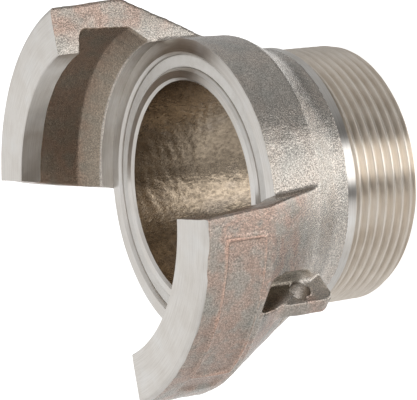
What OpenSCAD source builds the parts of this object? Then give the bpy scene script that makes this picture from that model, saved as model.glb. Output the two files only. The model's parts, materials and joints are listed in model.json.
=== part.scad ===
// Symmetrical claw hose coupling half, nominal bore 50 mm, with a G 2 male thread.
// One cast and machined body, and one gasket seated in its face.
// The coupling axis is +Z. The thread's end face lies on Z = 0 and the claws point up,
// centred on +X and -X.

/* [Thread end] */
// Outside diameter of the G 2 parallel pipe thread
thread_d = 59.614; // [59.4:0.002:59.7]
// Length of the threaded spigot up to its relief
thread_len = 17.2; // [15:0.1:20]
// Chamfer on the end of the thread
thread_chamfer = 1.4; // [0.8:0.1:2]
// Width of the relief behind the thread
relief_w = 0.9; // [0.5:0.1:2]
// Diameter of the relief behind the thread
relief_d = 58.2; // [57:0.1:59]
// Diameter of the machined shoulder behind the relief
shoulder_d = 61; // [60.4:0.1:62]
// Height of the machined shoulder
shoulder_h = 2.1; // [1:0.1:4]

/* [Body] */
// Flow bore
bore_d = 50; // [46:0.5:51]
// Height of the sealing face above the thread's end
face_z = 42.5; // [40:0.5:48]
// Diameter of the collar under the sealing face
collar_d = 69; // [67:0.2:70]
// Height of the straight part of the collar
collar_h = 12.2; // [8:0.1:14]
// Diameter of the neck between the collar and the shoulder
neck_d = 61.6; // [61:0.1:64]
// Height of the cone between the collar and the neck
neck_cone_h = 6.9; // [5:0.1:7.5]
// Radius of the curve between the cone and the neck
neck_round = 8; // [2:0.5:10]

/* [Gasket seat] */
// Inside diameter of the gasket groove
groove_id = 55.6; // [54.5:0.1:57]
// Outside diameter of the gasket groove
groove_od = 61.8; // [60:0.1:64]
// Depth of the gasket groove
groove_depth = 4.4; // [3:0.1:5]
// Gap between the gasket and each wall of its groove
gasket_gap = 0.1; // [0.05:0.01:0.2]
// Gap under the gasket
gasket_floor_gap = 0.05; // [0.02:0.01:0.2]
// How far the gasket's crown sits below the face
gasket_recess = 0.7; // [0:0.1:1.5]
// Rounding of the gasket's crown
gasket_round = 0.8; // [0.3:0.1:1]

/* [Claws] */
// Height of the claws above the sealing face
claw_h = 24.4; // [22:0.1:27]
// Diameter over the claws
claw_d = 91; // [88:0.5:94]
// Rounding of the claws' outer front edge
claw_round = 1.4; // [0.5:0.1:2]
// Inside diameter of the hook lip
lip_id = 69; // [68.4:0.1:70]
// Thickness of the hook lip at its tip
lip_h = 5.1; // [4:0.1:6]
// Diameter of the recess just behind the hook lip
recess_d = 79.2; // [77:0.2:81]
// Diameter of the recess where its foot begins
recess_foot_d = 77; // [75:0.2:79]
// Height of that place above the sealing face
recess_foot_h = 7; // [6:0.1:9]
// Diameter of the register just above the sealing face
register_d = 69.7; // [69.2:0.1:71]
// Height of the register
register_h = 3.2; // [1:0.1:4]
// Angle between a claw's middle line and the line of each of its ends
claw_end_angle = 40.7; // [36:0.1:44]
// Distance of the end's line from the coupling axis at the front, towards the claw
claw_end_offset = 5.04; // [4:0.01:6]
// Draft of the claw ends
claw_end_draft = 9.9; // [5:0.1:12]
// The same distance at the +X claw's fuller end, towards +Y
full_end_offset = 3.3; // [3:0.01:6]
// Draft of that fuller end
full_end_draft = 4.8; // [4:0.1:12]

/* [Back of the claws] */
// Height above the face where the outside of a claw turns into its ramp
ramp_top = 7.4; // [3:0.1:7.6]
// Depth of the ramp's foot below the face
ramp_foot = 11.6; // [11:0.1:12.2]
// Height above the face where the pocket beside the web cuts the outside
pocket_top = 8; // [7:0.1:8.6]
// Rise of the pocket's front wall for each millimetre outwards
pocket_slope = 0.8; // [0.7:0.05:1.3]
// Thickness of the web behind each claw
web_t = 4.2; // [3.5:0.1:6]
// Distance of the web's outer edge from the axis
web_r = 40.7; // [39.5:0.1:41]
// Distance below the face to the web's rear end
web_rear = 15.4; // [15:0.1:18]
// Rounding of the web's rear corner
web_round = 2.5; // [2:0.5:5]
// Diameter of the hole through the web
web_hole_d = 4.4; // [3:0.1:4.4]
// Distance of the web hole from the axis
web_hole_r = 36.8; // [36.7:0.1:37.2]
// Distance of the web hole below the face
web_hole_drop = 8; // [6:0.5:10]
// How far past the web's middle the hole runs, out along the ramp
web_hole_run = 13; // [10:1:16]

/* [Border on the claws] */
// Height of the raised border
border_h = 0.5; // [0.3:0.1:0.8]
// Width of the raised border's line
border_w = 1; // [0.8:0.1:1.5]
// Lower edge of the border above the face
border_low = 9; // [8.8:0.1:10]
// Upper edge of the border above the face
border_high = 19.8; // [18:0.1:21]
// Angle from a claw's middle to the border's short end
border_short = 16; // [10:1:30]
// Angle from a claw's middle to the border's long end
border_long = 31; // [20:1:32]
// Depth of the shallow recess beside the border's short end
patch_depth = 0.5; // [0.2:0.1:0.8]
// Angle from a claw's middle to the near side of the shallow recess
patch_near = 18; // [17:1:20]
// Angle from a claw's middle to the far side of the shallow recess
patch_far = 25; // [22:1:27]
// Height of the shallow recess
patch_h = 9; // [5:0.5:10]

/* [Hidden] */
$fn = 96;
over = 1;                                   // how far a cut runs past a surface
reach = 120;                                // larger than the whole part
bore_r = bore_d / 2;
collar_r = collar_d / 2;
claw_r = claw_d / 2;
lip_r = lip_id / 2;
recess_r = recess_d / 2;
recess_foot_r = recess_foot_d / 2;
register_r = register_d / 2;
crease_z = face_z - collar_h;               // where the collar curves into the neck
shoulder_z = thread_len + relief_w;
neck_z = shoulder_z + shoulder_h;           // where the cast skin begins
front_z = face_z + claw_h;
lip_z = front_z - lip_h;
wall_r = collar_r - 2;                      // inner edge of a claw, buried in the collar
pocket_foot_r = collar_r - 4.5;             // the pocket's cut ends inside the collar
round_steps = 6;
neck_r = neck_d / 2;
neck_foot_z = crease_z - neck_cone_h;       // where the cone would meet the straight neck
neck_lean = atan((collar_r - neck_r) / neck_cone_h);

// Points along an arc, from angle a to angle b
function arc(cx, cy, r, a, b, steps) =
    [for (i = [0:steps]) let (t = a + (b - a) * i / steps) [cx + r * cos(t), cy + r * sin(t)]];

// Spigot, shoulder, neck and collar, turned as one bar
module stem() {
    profile = concat(
        [[0, 0], [thread_d / 2 - thread_chamfer, 0], [thread_d / 2, thread_chamfer],
         [thread_d / 2, thread_len], [relief_d / 2, thread_len],
         [relief_d / 2, shoulder_z], [shoulder_d / 2, shoulder_z], [shoulder_d / 2, neck_z],
         [neck_r, neck_z]],
        arc(neck_r + neck_round, neck_foot_z - neck_round * tan(neck_lean / 2), neck_round,
            180, 180 - neck_lean, round_steps),
        [[collar_r, crease_z], [collar_r, face_z], [0, face_z]]);
    rotate_extrude() polygon(profile);
}

// Section of a claw through the axis: hook lip, recess, register and back ramp
module claw_section() {
    lip_back = [[lip_r, lip_z], [recess_r - 1, lip_z - 1], [recess_r, lip_z - 3.2]];
    foot = [[recess_foot_r, face_z + recess_foot_h], [register_r + 0.5, face_z + register_h]];
    outer_round = arc(claw_r - claw_round, front_z - claw_round, claw_round, 0, 90, round_steps);
    polygon(concat(
        [[wall_r, face_z - ramp_foot], [collar_r, face_z - ramp_foot], [claw_r, face_z + ramp_top]],
        outer_round,
        [[lip_r, front_z]],
        lip_back,
        foot,
        [[register_r, face_z], [wall_r, face_z]]));
}

// Everything beyond one end of the claw centred on +X
module beyond_claw_end(offset, draft) {
    rotate([0, 0, claw_end_angle])
        translate([0, -offset, front_z])
            rotate([draft, 0, 0])
                translate([-reach, 0, -reach])
                    cube([2 * reach, reach, 2 * reach]);
}

// Pocket in the ramp, on the +Y side of the web: its sloping front, cut to its outline
module pocket() {
    beside = web_t / 2 - 0.2;
    outline = [[beside, pocket_top + 4], [9.5, pocket_top + 4], [12.3, 6], [11, 0.5],
               [8.6, -4], [6.2, -8.4], [4.3, -11.4], [beside, -15.5]];
    drop = (claw_r - pocket_foot_r) * pocket_slope;
    intersection() {
        translate([0, reach / 2, face_z])
            rotate([90, 0, 0])
                linear_extrude(reach)
                    polygon([[pocket_foot_r, -collar_h - 8],
                             [pocket_foot_r, pocket_top - drop],
                             [claw_r + over, pocket_top + over * pocket_slope],
                             [claw_r + over, -collar_h - 8]]);
        translate([0, 0, face_z])
            rotate([90, 0, 90])
                linear_extrude(claw_r + 2 * over)
                    polygon(outline);
    }
}

// Web behind the claw, with a rounded rear corner
module web() {
    translate([0, web_t / 2, 0])
        rotate([90, 0, 0])
            linear_extrude(web_t)
                polygon(concat(
                    [[wall_r - 4, face_z - web_rear], [wall_r - 4, face_z - 1],
                     [collar_r - 0.5, face_z - 0.2], [web_r, face_z + 3.6]],
                    arc(web_r - web_round, face_z - web_rear + web_round, web_round, 0, -90,
                        round_steps)));
}

// Raised border on the outside of a claw
module border() {
    outer = claw_r + border_h;
    buried = claw_r - 1;
    sweep = border_short + border_long;
    line_angle = border_w / claw_r * 180 / PI;
    rotate([0, 0, -border_short])
        difference() {
            rotate_extrude(angle = sweep)
                translate([buried, face_z + border_low])
                    square([outer - buried, border_high - border_low]);
            rotate([0, 0, line_angle])
                rotate_extrude(angle = sweep - 2 * line_angle)
                    translate([claw_r, face_z + border_low + border_w])
                        square([border_h + over, border_high - border_low - 2 * border_w]);
        }
}

// Shallow recess in the outside of a claw, beside the border's short end
module patch() {
    middle_z = face_z + (border_low + border_high) / 2;
    rotate([0, 0, -patch_far])
        rotate_extrude(angle = patch_far - patch_near)
            translate([claw_r - patch_depth, middle_z - patch_h / 2])
                square([patch_depth + over, patch_h]);
}

// One claw, centred on +X, with its web, pocket and border. Its +Y end has its own place and draft.
module claw(offset, draft) {
    intersection() {
        difference() {
            rotate_extrude() claw_section();
            beyond_claw_end(offset, draft);
            mirror([0, 1, 0]) beyond_claw_end(claw_end_offset, claw_end_draft);
            pocket();
            patch();
        }
        translate([0, -reach, 0]) cube([reach, 2 * reach, reach]);
    }
    web();
    border();
}

// The cast and machined body
module coupling_body() {
    color("#b8b0a6")
        difference() {
            union() {
                stem();
                claw(full_end_offset, full_end_draft);
                rotate([0, 0, 180]) claw(claw_end_offset, claw_end_draft);
            }
            translate([0, 0, -over]) cylinder(r = bore_r, h = face_z + 2 * over, $fn = 128);
            translate([0, 0, face_z - groove_depth])
                difference() {
                    cylinder(d = groove_od, h = groove_depth + over, $fn = 128);
                    translate([0, 0, -over])
                        cylinder(d = groove_id, h = groove_depth + 3 * over, $fn = 128);
                }
            for (side = [0, 180])
                rotate([0, 0, side])
                    translate([web_hole_r, web_t, face_z - web_hole_drop])
                        rotate([90, 0, 0])
                            cylinder(d = web_hole_d, h = web_t + web_hole_run);
        }
}

// The gasket in its groove
module gasket() {
    inner = groove_id / 2 + gasket_gap;
    outer = groove_od / 2 - gasket_gap;
    low = face_z - groove_depth + gasket_floor_gap;
    high = face_z - gasket_recess;
    color("#d9d5cc")
        rotate_extrude()
            polygon(concat(
                [[inner, low], [outer, low]],
                arc(outer - gasket_round, high - gasket_round, gasket_round, 0, 90, round_steps),
                arc(inner + gasket_round, high - gasket_round, gasket_round, 90, 180,
                    round_steps)));
}

coupling_body();
gasket();
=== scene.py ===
"""Looks of the claw hose coupling half, DN 50 with a G 2 male thread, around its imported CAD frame.

The body is made the way the real one is: a rough casting first, then turning tools cut the faces, the
gasket groove, the hook lips and the spigot out of it, and the thread is added as a true helix.
Shapes are worked out in millimetres in the CAD frame, and go to Blender in metres.
"""
import json
import math

import bmesh
import bpy
import numpy as np
from mathutils import Matrix, Vector


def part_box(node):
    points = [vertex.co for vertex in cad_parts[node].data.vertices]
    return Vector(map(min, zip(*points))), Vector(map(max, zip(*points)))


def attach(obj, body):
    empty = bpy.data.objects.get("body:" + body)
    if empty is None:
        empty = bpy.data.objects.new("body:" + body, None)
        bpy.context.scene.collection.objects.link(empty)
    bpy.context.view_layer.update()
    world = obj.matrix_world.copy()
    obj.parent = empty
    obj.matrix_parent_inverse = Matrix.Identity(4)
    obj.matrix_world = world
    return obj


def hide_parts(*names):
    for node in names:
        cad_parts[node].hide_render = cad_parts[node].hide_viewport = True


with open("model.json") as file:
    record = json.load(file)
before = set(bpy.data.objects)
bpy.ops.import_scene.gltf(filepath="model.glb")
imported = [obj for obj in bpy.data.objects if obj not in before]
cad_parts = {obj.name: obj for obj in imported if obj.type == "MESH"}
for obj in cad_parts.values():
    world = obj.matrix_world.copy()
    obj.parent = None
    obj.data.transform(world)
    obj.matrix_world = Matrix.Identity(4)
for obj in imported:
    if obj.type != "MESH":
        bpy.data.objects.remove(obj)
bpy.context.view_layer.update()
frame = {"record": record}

# ---------------------------------------------------------------- sizes from the CAD frame, in mm
MM = 0.001
mounts = {m["name"]: m for m in frame["record"]["mounts"]}
body_low, body_high = (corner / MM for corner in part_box("coupling_body"))
gasket_low, gasket_high = (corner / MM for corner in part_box("gasket"))


def mount_point(name):
    """A mount's place in mm."""
    return Vector(mounts[name]["pos_m"]) / MM


FRONT_Z = body_high.z                                   # front of the claws
FACE_Z = mount_point("sealing_face").z                  # turned sealing face
COLLAR_R = body_high.y                                  # collar under the face
BORE_R = mounts["flow_bore"]["dims"]["r_mm"]
THREAD_R = mounts["male_thread"]["dims"]["r_mm"]        # over the thread's crests
LIP_R = mounts["claw_connection"]["dims"]["r_mm"]       # inside of the hook lips
LIP_Z = mount_point("claw_connection").z                # underside of the hook lips
EYE_R = mount_point("web_eye_right").x                  # hole through the web
EYE_Z = mount_point("web_eye_right").z
EYE_HOLE_R = mounts["web_eye_right"]["dims"]["r_mm"]
GASKET_GAP = 0.04                                       # the gasket all but fills its groove
GROOVE_OUT = gasket_high.x + GASKET_GAP
CROWN_Z = gasket_high.z
GASKET_FOOT_Z = gasket_low.z

# ---------------------------------------------------------------- sizes of the details, in mm
BORDER_H = 0.5                                          # raised border on the claws
CLAW_R = body_high.x - BORDER_H                         # outside of the claws
GASKET_IN = 27.9                                        # the gasket's inner radius
GROOVE_IN = GASKET_IN - GASKET_GAP
GROOVE_FLOOR_Z = GASKET_FOOT_Z - 0.05
CREASE_Z = FACE_Z - 12.2                                # the collar turns into the neck's cone
NECK_R = 30.8                                           # straight neck above the shoulder
NECK_FOOT_Z = CREASE_Z - 6.9                            # where the cone meets the straight neck
SHOULDER_R = 30.5                                       # turned shoulder behind the thread
NECK_Z = 20.2                                           # top of the turned shoulder
SHOULDER_Z = 18.1
THREAD_Z = 17.2                                         # end of the thread at its relief
RELIEF_R = 29.1
REGISTER_R = 34.85                                      # turned wall just above the face
REGISTER_H = 3.2
RECESS_R = 39.6                                         # cast recess behind the hook lips
RECESS_FOOT_R = 38.5                                    # where the recess turns into its foot
RECESS_FOOT_Z = FACE_Z + 7
RAMP_Z = FACE_Z + 7.4                                   # the claw's outside turns into its ramp
RAMP_FOOT_Z = FACE_Z - 11.6
CLAW_END_ANGLE = math.radians(40.7)                     # the plane that ends a claw
CLAW_END_OFFSET = 5.04
CLAW_END_DRAFT = math.radians(9.9)
FULL_END_OFFSET = 3.3                                   # the +X claw's fuller end, towards +Y
FULL_END_DRAFT = math.radians(4.8)
FRONT_ROUND = 1.4                                       # turned rounding of the claws' front edge
WEB_R = 40.7                                            # outer edge of the web behind a claw
WEB_HALF = 2.1                                          # from its middle to the pocket's side
WEB_EXTRA = 0.5                                         # thickness added on its other side
WEB_REAR_Z = FACE_Z - 15.4
EYE_END = 4.2                                           # the eye's cut, across the web
EYE_FAR_END = -13
POCKET_TOP = 8                                          # the pocket's front at the claw's outside
POCKET_SLOPE = 0.8                                      # its rise for each mm outwards
POCKET_SIDE_SLOPE = 0.93                                # its side beyond the web's outer edge
BORDER_LOW_Z = FACE_Z + 9
BORDER_HIGH_Z = FACE_Z + 19.8
BORDER_LINE = 1.1                                       # width of the border's line
BORDER_SHORT = math.radians(16)                         # the border's ends, round the axis
BORDER_LONG = math.radians(31)
PATCH_FROM = math.radians(18)                           # shallow recess beside the border
PATCH_TO = math.radians(25)
PATCH_DEPTH = 0.5
PATCH_HALF = 4.5
PITCH = 25.4 / 11                                       # 11 threads per inch
THREAD_DEPTH = 0.6403 * PITCH
ALLOWANCE = 0.8                                         # metal left on the casting for turning

GRID_STEP = 0.42                 # spacing of the casting's samples
TURNS = 384                                             # facets round a turned surface


# ---------------------------------------------------------------- outlines
def rounded(corners, steps=6):
    """Closed outline through corners (x, y, radius), each turned with its own radius."""
    points = []
    count = len(corners)
    for i, (x, y, radius) in enumerate(corners):
        here = np.array([x, y], float)
        if radius == 0:
            points.append(here)
            continue
        back = np.array(corners[i - 1][:2], float) - here
        ahead = np.array(corners[(i + 1) % count][:2], float) - here
        back /= np.linalg.norm(back)
        ahead /= np.linalg.norm(ahead)
        half = math.acos(np.clip(back @ ahead, -1, 1)) / 2
        middle = (back + ahead) / np.linalg.norm(back + ahead)
        centre = here + middle * radius / math.sin(half)
        start = here + back * radius / math.tan(half) - centre
        end = here + ahead * radius / math.tan(half) - centre
        for k in range(steps + 1):
            way = start * (1 - k / steps) + end * k / steps
            points.append(centre + way * radius / np.linalg.norm(way))
    return np.array(points)


def arc(cx, cy, radius, start, end, steps):
    """Points along an arc, with its angles in degrees."""
    angles = np.radians(np.linspace(start, end, steps + 1))
    return [(cx + radius * math.cos(a), cy + radius * math.sin(a), 0) for a in angles]


def outline_distance(points, x, y):
    """Distance from a closed outline, negative inside it."""
    nearest = np.full(np.broadcast(x, y).shape, 1e9, np.float32)
    inside = np.zeros(nearest.shape, bool)
    for (ax, ay), (bx, by) in zip(points, np.roll(points, -1, axis=0)):
        ex, ey = bx - ax, by - ay
        px, py = x - ax, y - ay
        along = np.clip((px * ex + py * ey) / max(ex * ex + ey * ey, 1e-12), 0, 1)
        nearest = np.minimum(nearest, (px - ex * along) ** 2 + (py - ey * along) ** 2)
        if ey != 0:
            inside ^= ((ay > y) != (by > y)) & (px < ex * py / ey)
    return np.where(inside, -1, 1) * np.sqrt(nearest)


# ---------------------------------------------------------------- distance fields of the casting
def smooth_min(a, b, blend):
    """Union of two fields, with a fillet about as wide as blend."""
    share = np.clip(0.5 + 0.5 * (b - a) / blend, 0, 1)
    return b + (a - b) * share - blend * share * (1 - share)


def smooth_max(a, b, blend):
    """Intersection of two fields, with its edge rounded by about blend."""
    return -smooth_min(-a, -b, blend)


class Samples:
    """The points at which the casting's distance field is worked out."""

    def __init__(self, low, high, step):
        self.low, self.step = np.array(low, float), step
        axes = [np.arange(a, b + step, step, dtype=np.float32) for a, b in zip(low, high)]
        self.axes = axes
        self.x, self.y, self.z = (
            axes[0][:, None, None], axes[1][None, :, None], axes[2][None, None, :])
        self.shape = tuple(len(a) for a in axes)
        self.r = np.hypot(self.x, self.y)
        self.u = np.abs(self.x)                         # both claws at once: half a turn alike
        self.v = self.y * np.where(self.x < 0, -1, 1).astype(np.float32)

    def turned(self, points):
        """Distance from the ring or bar that an outline in (radius, z) sweeps round the axis."""
        step = 0.1
        radii = np.arange(0, 62, step, dtype=np.float32)
        table = outline_distance(points, radii[:, None], self.axes[2][None, :])
        place = self.r[:, :, 0] / step
        row = np.minimum(place.astype(int), len(radii) - 2)
        share = (place - row)[:, :, None].astype(np.float32)
        table = table.astype(np.float32)
        return table[row] * (1 - share) + table[row + 1] * share

    def noise(self, spacing, seed):
        """Smooth random field of about unit height, whose lumps are about spacing apart."""
        rng = np.random.default_rng(seed)
        weights = []
        for axis in self.axes:
            knots = np.arange(axis[0] - 2 * spacing, axis[-1] + 3 * spacing, spacing)
            gap = np.abs(axis[:, None] - knots[None, :]) / spacing
            near = 2 / 3 - gap ** 2 + gap ** 3 / 2
            far = np.clip(2 - gap, 0, None) ** 3 / 6
            weights.append(np.where(gap < 1, near, far).astype(np.float32))
        lattice = rng.standard_normal([w.shape[1] for w in weights]).astype(np.float32)
        for w in weights:
            lattice = np.tensordot(lattice, w, axes=(0, 1))
        return lattice * 2


def stem_field(s):
    """Spigot, neck and collar as one cast bar."""
    corners = [
        (0, NECK_Z - 4, 0), (NECK_R, NECK_Z - 4, 0), (NECK_R, NECK_FOOT_Z, 8),
        (COLLAR_R, CREASE_Z, 0.8), (COLLAR_R, FACE_Z + ALLOWANCE, 0.8), (0, FACE_Z + ALLOWANCE, 0)]
    return s.turned(rounded(corners))


def claw_section_field(s):
    """Section of a claw swept all the way round: hook lip, recess, register and back ramp."""
    inside = COLLAR_R - 3
    corners = [
        (inside, RAMP_FOOT_Z, 0), (COLLAR_R, RAMP_FOOT_Z, 0), (CLAW_R, RAMP_Z, 1.5),
        (CLAW_R, FRONT_Z + ALLOWANCE, 0), (LIP_R - ALLOWANCE, FRONT_Z + ALLOWANCE, 0),
        (LIP_R - ALLOWANCE, LIP_Z, 0.7), (RECESS_R - 0.3, LIP_Z - 1.1, 1.4),
        (RECESS_FOOT_R, RECESS_FOOT_Z, 1.0), (REGISTER_R, FACE_Z + REGISTER_H - 0.3, 0.5),
        (REGISTER_R - 1.4, FACE_Z + 1, 0), (inside, FACE_Z, 0)]
    return s.turned(rounded(corners))


def claw_end_field(s):
    """How far a point lies beyond the nearer end of its claw."""
    across = math.cos(CLAW_END_ANGLE) * np.abs(s.v) - math.sin(CLAW_END_ANGLE) * s.u
    full = (s.x > 0) & (s.y > 0)
    offset = np.where(full, FULL_END_OFFSET, CLAW_END_OFFSET)
    draft = np.where(full, FULL_END_DRAFT, CLAW_END_DRAFT)
    return (across + offset) * np.cos(draft) + (s.z - FRONT_Z) * np.sin(draft)


def pocket_field(s):
    """Pocket in the ramp beside the web: its sloping front and side, cut to its outline."""
    points = rounded([
        (WEB_HALF, 14, 0), (9.5, 14, 0), (12.3, 6, 2), (11, 0.5, 1), (8.6, -4, 1),
        (4.3, -11.4, 0.6), (WEB_HALF, -15.5, 0)])
    right_outline = outline_distance(points, s.y[0], s.z[0] - FACE_Z)[None]
    left_outline = outline_distance(points, -s.y[0], s.z[0] - FACE_Z)[None]
    outline = np.where(s.x > 0, right_outline, left_outline)
    height = s.z - FACE_Z - POCKET_TOP + (CLAW_R - s.u) * POCKET_SLOPE
    front = height / math.hypot(1, POCKET_SLOPE)
    aside = WEB_HALF + (s.u - WEB_R) * POCKET_SIDE_SLOPE - s.v
    side = aside / math.hypot(1, POCKET_SIDE_SLOPE)
    return smooth_max(smooth_max(outline, front, 0.8), side, 0.3)


def web_field(s):
    """Web behind the claw, with its rounded rear corner and rounded edges."""
    corners = [
        (COLLAR_R - 6, WEB_REAR_Z, 0), (COLLAR_R - 6, FACE_Z - 1, 0), (COLLAR_R, FACE_Z, 0),
        (WEB_R, FACE_Z + 5, 0), (WEB_R, WEB_REAR_Z, 2.5)]
    side = outline_distance(rounded(corners), s.u[:, 0], s.z[0])[:, None]
    draft = (s.u - COLLAR_R) * 0.05
    across = np.abs(s.v + WEB_EXTRA / 2) - WEB_HALF - WEB_EXTRA / 2
    return smooth_max(side, across + draft, 0.6)


def eye_field(s):
    """Round hole through the web, out along the ramp on its other side."""
    round_hole = np.hypot(s.u - EYE_R, s.z - EYE_Z) - EYE_HOLE_R
    run = np.abs(s.v - (EYE_END + EYE_FAR_END) / 2) - (EYE_END - EYE_FAR_END) / 2
    return np.maximum(round_hole, run)


def border_field(s):
    """Raised border line on the outside of a claw."""
    around = np.arctan2(s.v, s.u) * CLAW_R
    middle = (BORDER_LONG - BORDER_SHORT) / 2 * CLAW_R
    half_length = (BORDER_LONG + BORDER_SHORT) / 2 * CLAW_R
    half_height = (BORDER_HIGH_Z - BORDER_LOW_Z) / 2
    dx = np.abs(around - middle) - half_length + 1
    dz = np.abs(s.z - (BORDER_LOW_Z + BORDER_HIGH_Z) / 2) - half_height + 1
    outside = np.hypot(np.maximum(dx, 0), np.maximum(dz, 0))
    frame_edge = outside + np.minimum(np.maximum(dx, dz), 0) - 1
    line = np.abs(frame_edge + BORDER_LINE / 2) - BORDER_LINE / 2
    return smooth_max(line, np.abs(s.r - CLAW_R) - BORDER_H * 0.9, 0.2)


def patch_field(s):
    """Shallow recess in the outside of a claw, beside the border's short end."""
    around = np.arctan2(-s.v, s.u)
    half_angle = (PATCH_TO - PATCH_FROM) / 2
    across = (np.abs(around - PATCH_FROM - half_angle) - half_angle) * CLAW_R
    up = np.abs(s.z - (BORDER_LOW_Z + BORDER_HIGH_Z) / 2) - PATCH_HALF
    return smooth_max(smooth_max(across, up, 1.2), CLAW_R - PATCH_DEPTH - s.r, 0.5)


def casting_field(s):
    """The whole rough casting, without its bore."""
    claw = smooth_max(claw_section_field(s), claw_end_field(s), 0.6)
    claw = smooth_max(claw, -pocket_field(s), 0.6)
    claw = smooth_max(claw, -patch_field(s), 0.3)
    body = smooth_min(stem_field(s), claw, 1.1)
    body = smooth_min(body, web_field(s), 0.7)
    eye = eye_field(s)
    burr = np.maximum(np.abs(eye - 0.1) - 0.35, np.abs(s.v) - WEB_HALF - 0.3)
    body = smooth_max(np.minimum(body, burr), -eye, 0.2)
    body = smooth_min(body, border_field(s), 0.25)
    skin = 0.10 * s.noise(9, 1) + 0.05 * s.noise(3.2, 2) + 0.035 * s.noise(1.3, 3)
    return body - skin + 0.12


# ---------------------------------------------------------------- meshes
def surface_net(field, low, step):
    """Points and quads of the field's zero level: one point in each cell that it crosses."""
    inside = field < 0
    cells = tuple(n - 1 for n in field.shape)
    corners = [(i, j, k) for i in (0, 1) for j in (0, 1) for k in (0, 1)]

    def corner(values, offset):
        return values[tuple(slice(o, o + n) for o, n in zip(offset, cells))]

    filled = sum(corner(inside, c).astype(np.int8) for c in corners)
    crossed = (filled > 0) & (filled < 8)
    number = np.full(cells, -1, np.int64)
    where = np.nonzero(crossed)
    number[where] = np.arange(len(where[0]))
    total = np.zeros((len(where[0]), 3), np.float32)
    hits = np.zeros(len(where[0]), np.float32)
    for start in corners:
        for axis in range(3):
            if start[axis] == 1:
                continue
            end = tuple(o + (n == axis) for n, o in enumerate(start))
            a = corner(field, start)[where]
            b = corner(field, end)[where]
            cut = (a < 0) != (b < 0)
            share = np.where(cut, a / np.where(cut, a - b, 1), 0)
            place = np.array(start, np.float32)[None].repeat(len(share), 0)
            place[:, axis] += share
            total += place * cut[:, None]
            hits += cut
    points = (np.array(where).T + total / hits[:, None]) * step + low
    quads = []
    for axis in range(3):
        b, c = (axis + 1) % 3, (axis + 2) % 3
        near = [slice(None)] * 3
        far = [slice(None)] * 3
        near[axis], far[axis] = slice(None, -1), slice(1, None)
        flips = inside[tuple(near)] != inside[tuple(far)]
        spot = np.array(np.nonzero(flips)).T
        keep = (spot[:, b] > 0) & (spot[:, c] > 0)
        keep &= (spot[:, b] < cells[b]) & (spot[:, c] < cells[c])
        spot = spot[keep]
        ring = []
        for db, dc in ((1, 1), (0, 1), (0, 0), (1, 0)):
            cell = spot.copy()
            cell[:, b] -= db
            cell[:, c] -= dc
            ring.append(number[tuple(cell.T)])
        quad = np.array(ring).T
        outward = inside[tuple(spot.T)]
        quads.append(np.where(outward[:, None], quad, quad[:, ::-1]))
    return points, np.concatenate(quads)


def mesh_object(name, points, faces, materials):
    """A Blender object from points in mm and faces."""
    mesh = bpy.data.meshes.new(name)
    mesh.from_pydata(np.asarray(points, float) * MM, [], faces)
    for material in materials:
        mesh.materials.append(material)
    mesh.update()
    made = bpy.data.objects.new(name, mesh)
    bpy.context.scene.collection.objects.link(made)
    return made


def turned_ring(name, corners, material):
    """A ring turned from a closed outline in (radius, z)."""
    outline = rounded(corners)
    ahead = np.roll(outline, -1, axis=0)
    if np.sum(outline[:, 0] * ahead[:, 1] - ahead[:, 0] * outline[:, 1]) < 0:
        outline = outline[::-1]
    count = len(outline)
    angles = np.linspace(0, 2 * math.pi, TURNS, endpoint=False)
    points = np.stack([
        outline[None, :, 0] * np.cos(angles)[:, None],
        outline[None, :, 0] * np.sin(angles)[:, None],
        np.broadcast_to(outline[None, :, 1], (TURNS, count))], axis=-1).reshape(-1, 3)
    i, k = np.meshgrid(np.arange(TURNS), np.arange(count), indexing="ij")
    row, next_row = i * count, (i + 1) % TURNS * count
    k_next = (k + 1) % count
    quads = np.stack([row + k, next_row + k, next_row + k_next, row + k_next], -1)
    return mesh_object(name, points, quads.reshape(-1, 4), [material])


def drum(name, radius, levels, around, material):
    """A closed drum whose radius is a function of angle and height."""
    angles = np.linspace(0, 2 * math.pi, around, endpoint=False)
    a, z = np.meshgrid(angles, levels, indexing="xy")
    r = radius(a, z)
    points = np.stack([r * np.cos(a), r * np.sin(a), z], axis=-1).reshape(-1, 3)
    k, i = np.meshgrid(np.arange(len(levels) - 1), np.arange(around), indexing="ij")
    i_next = (i + 1) % around
    low, high = k * around, (k + 1) * around
    quads = np.stack([low + i, low + i_next, high + i_next, high + i], -1).reshape(-1, 4)
    faces = quads.tolist()
    faces.append(list(range(around - 1, -1, -1)))
    top = (len(levels) - 1) * around
    faces.append(list(range(top, top + around)))
    return mesh_object(name, points, faces, [material])


def combine(target, tool, operation):
    """Cuts target with tool, or joins the two, and keeps each surface's own material."""
    step = target.modifiers.new(tool.name, "BOOLEAN")
    step.object = tool
    step.operation = operation
    step.solver = "MANIFOLD"
    step.material_mode = "TRANSFER"
    made = bpy.data.meshes.new_from_object(
        target.evaluated_get(bpy.context.evaluated_depsgraph_get()))
    target.modifiers.clear()
    old = target.data
    target.data = made
    bpy.data.meshes.remove(old)
    bpy.data.objects.remove(tool)


# ---------------------------------------------------------------- turned surfaces
def thread_radius(around, z):
    """Outside of the spigot: the thread's helix, its relief and the shoulder."""
    turn = z / PITCH - around / (2 * math.pi)
    from_crest = np.abs(turn - np.round(turn)) * PITCH
    sharp_drop = from_crest / math.tan(math.radians(27.5)) - 0.96 * PITCH / 9
    drop = smooth_max(sharp_drop, 0.0 * z, 0.2)
    drop = smooth_min(drop, THREAD_DEPTH + 0.0 * z, 0.35)
    radius = THREAD_R - drop
    start = THREAD_R - 1.4 + z
    radius = np.minimum(radius, start)
    run_out = np.clip((z - (THREAD_Z - 0.8)) / 0.8, 0, 1)
    radius = np.maximum(radius, RELIEF_R * run_out + radius * (1 - run_out))
    radius = np.where(z > THREAD_Z, RELIEF_R, radius)
    return np.where(z > SHOULDER_Z, SHOULDER_R, radius)


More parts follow.
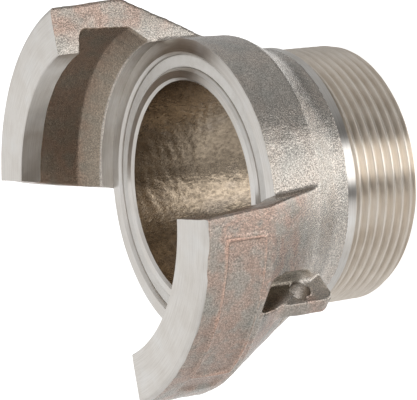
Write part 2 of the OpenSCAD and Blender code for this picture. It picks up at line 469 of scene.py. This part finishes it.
def spigot(material):
    """Turned end of the body: the threaded spigot, its relief and the shoulder."""
    rows = 24
    thread = np.arange(0, THREAD_Z, PITCH / rows)
    steps = [THREAD_Z - 0.01, THREAD_Z + 0.01, THREAD_Z + 0.1, SHOULDER_Z - 0.1, SHOULDER_Z - 0.01]
    top = [SHOULDER_Z + 0.01, SHOULDER_Z + 0.15, NECK_Z - 0.2, NECK_Z + 0.6]
    levels = np.concatenate([thread, steps, top])
    return drum("spigot", thread_radius, levels, TURNS, material)


def bore_core(material):
    """The bore's rough wall, as the sand core that leaves it."""
    rng = np.random.default_rng(11)
    waves = [(rng.integers(4, 70), rng.uniform(0.1, 3.0), rng.uniform(0, 6.28)) for _ in range(90)]

    def radius(a, z):
        ripple = sum(np.cos(n * a + w * z + shift) for n, w, shift in waves)
        return BORE_R + 0.003 * ripple

    levels = np.arange(-1, FACE_Z + 3, 0.6)
    return drum("bore_core", radius, levels, TURNS // 2, material)


def turned_tools(material):
    """The cuts that turn the casting's face, register, hook lips, front and spigot."""
    inner, outer = BORE_R - 6, CLAW_R + 6
    edge = FRONT_ROUND
    register_top = FACE_Z + REGISTER_H
    face = [
        (inner, FACE_Z, 0), (COLLAR_R - 0.45, FACE_Z, 0), (REGISTER_R, FACE_Z - 0.3, 0),
        (REGISTER_R, register_top, 0), (REGISTER_R - 0.9, register_top + 1.4, 0),
        (inner, register_top + 1.4, 0)]
    lip = [
        (LIP_R - 4, LIP_Z - 1.5, 0), (LIP_R, LIP_Z - 1.5, 0), (LIP_R, FRONT_Z - 0.2, 0),
        (LIP_R + 0.2, FRONT_Z, 0), (CLAW_R - edge, FRONT_Z, 0)]
    lip += arc(CLAW_R - edge, FRONT_Z - edge, edge, 90, 12, 6)
    lip += [(outer, FRONT_Z - edge, 0), (outer, FRONT_Z + 3, 0), (LIP_R - 4, FRONT_Z + 3, 0)]
    groove = [
        (GROOVE_IN - 1.2, FACE_Z + 0.6, 0), (GROOVE_IN, FACE_Z - 0.6, 0.5),
        (GROOVE_IN, GROOVE_FLOOR_Z, 0), (GROOVE_OUT, GROOVE_FLOOR_Z, 0),
        (GROOVE_OUT, FACE_Z - 0.6, 0.5), (GROOVE_OUT + 1.2, FACE_Z + 0.6, 0)]
    mouth = [
        (inner, FACE_Z - 0.6, 0), (BORE_R + 0.02, FACE_Z - 0.6, 0),
        (BORE_R + 0.3, FACE_Z - 0.3, 0.2), (BORE_R + 1.1, FACE_Z + 0.5, 0), (inner, FACE_Z + 0.5, 0)]
    tail = [
        (inner, -2, 0), (BORE_R + 1.1, -2, 0), (BORE_R + 0.9, 0, 0), (BORE_R + 0.05, 0.9, 0),
        (inner, 0.9, 0)]
    return [
        turned_ring("face_cut", face, material), turned_ring("lip_cut", lip, material),
        turned_ring("groove_cut", groove, material), turned_ring("mouth_cut", mouth, material),
        turned_ring("tail_cut", tail, material)]


def mark_sharp(mesh, angle, rough_slot=None):
    """Sharp edges where the surface turns by more than angle, but not within the rough skin."""
    bm = bmesh.new()
    bm.from_mesh(mesh)
    for face in bm.faces:
        face.smooth = True
    for edge in bm.edges:
        slots = {face.material_index for face in edge.link_faces}
        can_be_sharp = slots != {rough_slot} and edge.is_manifold
        edge.smooth = not (can_be_sharp and edge.calc_face_angle(0) > angle)
    bm.to_mesh(mesh)
    bm.free()


def body_piece(cast, turned, bored):
    """The coupling's one-piece body."""
    reach_x, reach_y = CLAW_R + 1.5, COLLAR_R + 1.5
    samples = Samples((-reach_x, -reach_y, NECK_Z - 2), (reach_x, reach_y, FRONT_Z + 2), GRID_STEP)
    field = casting_field(samples)
    field = np.maximum(field, NECK_Z - samples.z)
    points, quads = surface_net(field, samples.low, samples.step)
    body = mesh_object("coupling_casting", points, quads, [cast, turned, bored])
    combine(body, spigot(turned), "UNION")
    combine(body, bore_core(bored), "DIFFERENCE")
    for tool in turned_tools(turned):
        combine(body, tool, "DIFFERENCE")
    return body


# ---------------------------------------------------------------- material helpers
class Nodes:
    """Short calls that add and link the nodes of one node tree."""

    def __init__(self, tree):
        self.tree = tree
        tree.nodes.clear()

    def add(self, kind, **settings):
        node = self.tree.nodes.new(kind)
        for name, value in settings.items():
            setattr(node, name, value)
        return node

    def link(self, source, target):
        self.tree.links.new(source, target)

    def feed(self, socket, value):
        """Links a node's output to a socket, or sets the socket to a plain value."""
        if isinstance(value, bpy.types.NodeSocket):
            self.link(value, socket)
        else:
            socket.default_value = value

    def math(self, operation, a, b=0.0, c=0.0):
        """One step of arithmetic on up to three values or sockets."""
        node = self.add("ShaderNodeMath", operation=operation)
        for socket, value in zip(node.inputs, (a, b, c)):
            self.feed(socket, value)
        return node.outputs[0]

    def spread(self, value, low, high, to_low=0.0, to_high=1.0):
        """Smooth step of a value from low to high."""
        node = self.add("ShaderNodeMapRange", interpolation_type="SMOOTHSTEP")
        for name, number in (
                ("Value", value), ("From Min", low), ("From Max", high),
                ("To Min", to_low), ("To Max", to_high)):
            self.feed(node.inputs[name], number)
        return node.outputs["Result"]

    def noise(self, vector, size, detail=2.0, roughness=0.5):
        """Noise whose lumps are size mm across, from 0 to 1."""
        node = self.add("ShaderNodeTexNoise")
        self.link(vector, node.inputs["Vector"])
        node.inputs["Scale"].default_value = 1 / size
        node.inputs["Detail"].default_value = detail
        node.inputs["Roughness"].default_value = roughness
        return node.outputs["Fac"]

    def ramp(self, value, stops):
        """Colour ramp through stops (position, colour)."""
        node = self.add("ShaderNodeValToRGB")
        self.link(value, node.inputs["Fac"])
        elements = node.color_ramp.elements
        while len(elements) < len(stops):
            elements.new(0.5)
        for element, (position, colour) in zip(elements, stops):
            element.position = position
            element.color = (*colour, 1)
        return node.outputs["Color"]

    def blend(self, share, a, b, kind="MIX"):
        """Colour that goes from a to b, or that b changes in another way."""
        node = self.add("ShaderNodeMix", data_type="RGBA", blend_type=kind)
        self.feed(node.inputs["Factor"], share)
        for socket, value in ((node.inputs[6], a), (node.inputs[7], b)):
            self.feed(socket, (*value, 1) if isinstance(value, tuple) else value)
        return node.outputs[2]

    def bump(self, height, depth, normal=None):
        """Bump of depth mm for a height from 0 to 1."""
        node = self.add("ShaderNodeBump")
        node.inputs["Strength"].default_value = 1
        node.inputs["Distance"].default_value = depth * MM
        self.link(height, node.inputs["Height"])
        if normal is not None:
            self.link(normal, node.inputs["Normal"])
        return node.outputs["Normal"]

    def outlook(self, x, y, radius):
        """How squarely the surface looks away from the axis, from -1 to 1."""
        split = self.add("ShaderNodeSeparateXYZ")
        self.link(self.add("ShaderNodeTexCoord").outputs["Normal"], split.inputs[0])
        outward = self.math("MULTIPLY", split.outputs[0], x)
        outward = self.math("MULTIPLY_ADD", split.outputs[1], y, outward)
        return self.math("DIVIDE", outward, radius)

    def faces_inward(self, x, y, radius):
        """One where the surface looks towards the axis."""
        return self.spread(self.outlook(x, y, radius), -0.25, -0.45)

    def faces_outward(self, x, y, radius):
        """One where the surface looks away from the axis or along it."""
        return self.spread(self.outlook(x, y, radius), -0.45, -0.25)

    def places(self):
        """Object coordinates in mm: the vector, its three parts and the radius from the axis."""
        coords = self.add("ShaderNodeTexCoord")
        scaled = self.add("ShaderNodeVectorMath", operation="SCALE")
        self.link(coords.outputs["Object"], scaled.inputs[0])
        scaled.inputs["Scale"].default_value = 1 / MM
        split = self.add("ShaderNodeSeparateXYZ")
        self.link(scaled.outputs[0], split.inputs[0])
        x, y, z = split.outputs
        squares = self.math("MULTIPLY_ADD", x, x, self.math("MULTIPLY", y, y))
        radius = self.math("SQRT", squares)
        return scaled.outputs[0], x, y, z, radius


def new_material(name):
    """A material with its node helper and its Principled shader."""
    material = bpy.data.materials.new(name)
    material.use_nodes = True
    nodes = Nodes(material.node_tree)
    output = nodes.add("ShaderNodeOutputMaterial")
    shader = nodes.add("ShaderNodeBsdfPrincipled")
    nodes.link(shader.outputs[0], output.inputs["Surface"])
    return material, nodes, shader


def cast_material():
    """Shot-blasted casting skin: grey collar, pinker claws, painted shade in the recess and the
    pocket, and a painted highlight on the raised border.
    """
    material, n, shader = new_material("cast_skin")
    place, x, y, z, radius = n.places()
    patches = n.noise(place, 6, 3)
    grain = n.noise(place, 0.34, 4, 0.65)
    pits = n.noise(place, 1.1, 2, 0.5)
    grey = n.ramp(patches, [
        (0.30, (0.54, 0.52, 0.48)), (0.48, (0.60, 0.56, 0.51)), (0.62, (0.63, 0.57, 0.51)),
        (0.74, (0.58, 0.55, 0.51))])
    pink = n.ramp(patches, [
        (0.28, (0.43, 0.41, 0.37)), (0.42, (0.48, 0.425, 0.375)), (0.52, (0.52, 0.41, 0.35)),
        (0.60, (0.53, 0.40, 0.335)), (0.72, (0.44, 0.41, 0.37))])
    skin = n.blend(n.spread(radius, COLLAR_R + 1, COLLAR_R + 6), grey, pink)
    speckle = n.ramp(grain, [
        (0.32, (0.45, 0.44, 0.43)), (0.5, (0.92, 0.91, 0.90)), (0.68, (1.25, 1.24, 1.22))])
    skin = n.blend(1.0, skin, speckle, "MULTIPLY")
    # painted shade: the recess behind the hook lips is darkened and browned where its walls face the
    # axis
    inner = n.spread(radius, RECESS_R + 1.2, RECESS_R + 0.3)
    above = n.spread(z, FACE_Z + REGISTER_H - 0.4, FACE_Z + REGISTER_H)
    shade = n.math("MULTIPLY", n.math("MULTIPLY", inner, above), n.faces_inward(x, y, radius))
    colour = n.blend(shade, skin, n.blend(1.0, skin, (0.60, 0.55, 0.49), "MULTIPLY"))
    # painted shade: the pocket beside the web is darkened the deeper it lies below the ramp
    slope = (CLAW_R - COLLAR_R) / (RAMP_Z - RAMP_FOOT_Z)
    ramp = n.math("MULTIPLY_ADD", z, slope, COLLAR_R - RAMP_FOOT_Z * slope)
    deep = n.spread(n.math("SUBTRACT", ramp, radius), 0.4, 2.4)
    pocket_painted_shade = n.math("MULTIPLY", deep, n.faces_outward(x, y, radius))
    for limit in (
            n.spread(n.math("MULTIPLY", y, n.math("SIGN", x)), 1.2, 1.9),
            n.spread(z, FACE_Z + 8.6, FACE_Z + 7.6), n.spread(n.math("ABSOLUTE", x), 32, 33)):
        pocket_painted_shade = n.math("MULTIPLY", pocket_painted_shade, limit)
    # painted highlight: the raised border line is painted lighter and warmer than the skin around it
    border_painted_highlight = n.spread(radius, CLAW_R + 0.12, CLAW_R + 0.32)
    colour = n.blend(border_painted_highlight, colour, n.blend(1.0, colour, (1.25, 1.13, 1.08), "MULTIPLY"))
    colour = n.blend(pocket_painted_shade, colour, n.blend(1.0, colour, (0.55, 0.53, 0.49), "MULTIPLY"))
    n.link(colour, shader.inputs["Base Color"])
    shader.inputs["Metallic"].default_value = 1.0
    n.link(n.spread(grain, 0.3, 0.7, 0.28, 0.18), shader.inputs["Roughness"])
    low = n.bump(pits, 0.06)
    n.link(n.bump(grain, 0.12, low), shader.inputs["Normal"])
    return material


def turned_material():
    """Turned stainless steel: bright, with fine rings that run round the axis."""
    material, n, shader = new_material("turned_steel")
    place, x, y, z, radius = n.places()
    around = n.math("ARCTAN2", y, x)
    rings = n.add("ShaderNodeCombineXYZ")
    n.link(radius, rings.inputs[0])
    n.link(z, rings.inputs[1])
    n.link(n.math("MULTIPLY", n.math("SINE", around), 1.2), rings.inputs[2])
    marks = n.noise(rings.outputs[0], 0.22, 3, 0.6)
    cloud = n.noise(place, 5, 3)
    tint = n.ramp(cloud, [
        (0.35, (0.70, 0.665, 0.62)), (0.55, (0.76, 0.73, 0.69)), (0.7, (0.79, 0.77, 0.74))])
    fine = n.ramp(marks, [(0.3, (0.86, 0.85, 0.84)), (0.6, (1.0, 1.0, 1.0))])
    steel = n.blend(1.0, tint, fine, "MULTIPLY")
    # painted reflection: the thread is tinted warmer, as if its flanks reflected warm light from the
    # sides
    thread_painted_reflection = n.spread(z, THREAD_Z + 0.1, THREAD_Z - 0.1)
    steel = n.blend(thread_painted_reflection, steel, n.blend(1.0, steel, (1.05, 1.0, 0.94), "MULTIPLY"))
    n.link(steel, shader.inputs["Base Color"])
    shader.inputs["Metallic"].default_value = 1.0
    shader.inputs["Anisotropic"].default_value = 0.9
    shader.inputs["Anisotropic Rotation"].default_value = 0.25
    n.link(n.spread(cloud, 0.3, 0.7, 0.28, 0.34), shader.inputs["Roughness"])
    tangent = n.add("ShaderNodeTangent", direction_type="RADIAL", axis="Z")
    n.link(tangent.outputs[0], shader.inputs["Tangent"])
    n.link(n.bump(marks, 0.012), shader.inputs["Normal"])
    return material


def bore_material():
    """Rough brown wall of the cast bore."""
    material, n, shader = new_material("bore_skin")
    place = n.places()[0]
    stretch = n.add("ShaderNodeMapping")
    n.link(place, stretch.inputs["Vector"])
    stretch.inputs["Scale"].default_value = (1, 1, 0.6)
    grain = n.noise(stretch.outputs[0], 0.7, 4, 0.6)
    patches = n.noise(stretch.outputs[0], 6, 3)
    wall = n.ramp(patches, [
        (0.35, (0.34, 0.28, 0.215)), (0.55, (0.47, 0.39, 0.30)), (0.7, (0.40, 0.34, 0.28))])
    speckle = n.ramp(grain, [(0.35, (0.62, 0.6, 0.58)), (0.6, (0.95, 0.93, 0.9))])
    n.link(n.blend(1.0, wall, speckle, "MULTIPLY"), shader.inputs["Base Color"])
    shader.inputs["Metallic"].default_value = 1.0
    n.link(n.spread(grain, 0.3, 0.7, 0.28, 0.20), shader.inputs["Roughness"])
    n.link(n.bump(grain, 0.08), shader.inputs["Normal"])
    return material


def gasket_material():
    """Pale warm grey elastomer with a faint bloom."""
    material, n, shader = new_material("gasket_elastomer")
    place = n.places()[0]
    bloom = n.noise(place, 2.5, 4, 0.6)
    grain = n.noise(place, 0.3, 2)
    colour = n.ramp(bloom, [(0.35, (0.72, 0.69, 0.645)), (0.6, (0.80, 0.775, 0.735))])
    n.link(colour, shader.inputs["Base Color"])
    n.link(n.spread(bloom, 0.3, 0.7, 0.38, 0.5), shader.inputs["Roughness"])
    n.link(n.bump(grain, 0.015), shader.inputs["Normal"])
    return material


def gasket_piece(material):
    """The sealing ring that lies in the groove."""
    crown = 0.5
    corners = [
        (GASKET_IN, GASKET_FOOT_Z, 0.3), (gasket_high.x, GASKET_FOOT_Z, 0.3),
        (gasket_high.x, CROWN_Z, crown), (GASKET_IN, CROWN_Z, crown)]
    return turned_ring("gasket_seal", corners, material)


# ---------------------------------------------------------------- stage
def floor_piece():
    """Plain pale floor. It keeps no light from the part, so soft light comes from below too."""
    size = 4000
    corners = [(-size, -size, 0), (size, -size, 0), (size, size, 0), (-size, size, 0)]
    material, _, shader = new_material("pale_floor")
    shader.inputs["Base Color"].default_value = (0.8, 0.8, 0.79, 1)
    shader.inputs["Roughness"].default_value = 0.9
    shader.inputs["Emission Color"].default_value = (1, 1, 1, 1)
    shader.inputs["Emission Strength"].default_value = 0.75
    floor = mesh_object("floor", corners, [(0, 1, 2, 3)], [material])
    floor.visible_glossy = False
    floor.visible_diffuse = False
    floor.visible_shadow = False


def studio_light(right, up):
    """Soft light from all round: panels that differ by how high they stand in the picture."""
    world = bpy.data.worlds.new("studio")
    bpy.context.scene.world = world
    world.use_nodes = True
    n = Nodes(world.node_tree)
    direction = n.add("ShaderNodeTexCoord").outputs["Generated"]
    peak = 2.0

    def share_along(axis):
        product = n.add("ShaderNodeVectorMath", operation="DOT_PRODUCT")
        n.link(direction, product.inputs[0])
        product.inputs[1].default_value = axis
        return product.outputs["Value"]

    height = n.math("MULTIPLY_ADD", share_along(up), 0.5, 0.5)

    def panels(stops):
        return n.ramp(height, [((1 + level) / 2, (light / peak,) * 3) for level, light in stops])

    right_side = panels([
        (-1, 0.45), (-0.76, 0.62), (-0.66, 0.9), (-0.45, 1.0), (-0.26, 0.95), (-0.22, 0.08),
        (-0.06, 0.08), (-0.01, 2.0), (0.38, 2.0), (0.43, 0.08), (0.55, 0.1), (0.7, 0.28),
        (0.86, 0.42), (1, 0.5)])
    left_side = panels([
        (-1, 0.7), (-0.5, 0.8), (-0.3, 0.9), (-0.2, 0.98), (-0.02, 1.0), (0.12, 0.65), (0.3, 0.45),
        (0.6, 0.45), (1, 0.6)])
    front = right.cross(up)
    left_front = panels([(-1, 0.85), (-0.2, 0.85), (0.3, 0.7), (1, 0.6)])
    left_side = n.blend(n.spread(share_along(front), -0.35, 0.1), left_side, left_front)
    light = n.blend(n.spread(share_along(right), 0.0, 0.4), left_side, right_side)
    background = n.add("ShaderNodeBackground")
    n.link(light, background.inputs["Color"])
    background.inputs["Strength"].default_value = peak
    output = n.add("ShaderNodeOutputWorld")
    n.link(background.outputs[0], output.inputs["Surface"])


def camera():
    """Long lens that looks at the part from the side of the +X claw, rolled onto its side.

    It gives back the directions of the picture's right and up.
    """
    aim = Vector((1.8, -1.8, 37.6))
    distance = 505.9
    azimuth, elevation, roll = math.radians(44.61), math.radians(31.65), math.radians(-97.42)
    flat = Vector((math.cos(azimuth), math.sin(azimuth), 0))
    back = flat * math.cos(elevation) + Vector((0, 0, math.sin(elevation)))
    level = Vector((0, 0, 1)).cross(back).normalized()
    right = level * math.cos(roll) + back.cross(level) * math.sin(roll)
    up = back.cross(right)
    data = bpy.data.cameras.new("camera")
    data.sensor_width = 36
    data.lens = 193.06
    data.clip_start, data.clip_end = 0.01, 20
    shot = bpy.data.objects.new("camera", data)
    turn = Matrix((right, up, back)).transposed().to_4x4()
    shot.matrix_world = Matrix.Translation((aim + back * distance) * MM) @ turn
    bpy.context.scene.collection.objects.link(shot)
    bpy.context.scene.camera = shot
    return right, up


# ---------------------------------------------------------------- the scene
picture_right, picture_up = camera()
studio_light(picture_right, picture_up)
floor_piece()
bpy.context.scene.view_settings.view_transform = "Standard"

body = body_piece(cast_material(), turned_material(), bore_material())
mark_sharp(body.data, math.radians(25), rough_slot=0)
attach(body, "body")
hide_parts("coupling_body")

gasket = gasket_piece(gasket_material())
mark_sharp(gasket.data, math.radians(40))
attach(gasket, "gasket_ring")
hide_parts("gasket")
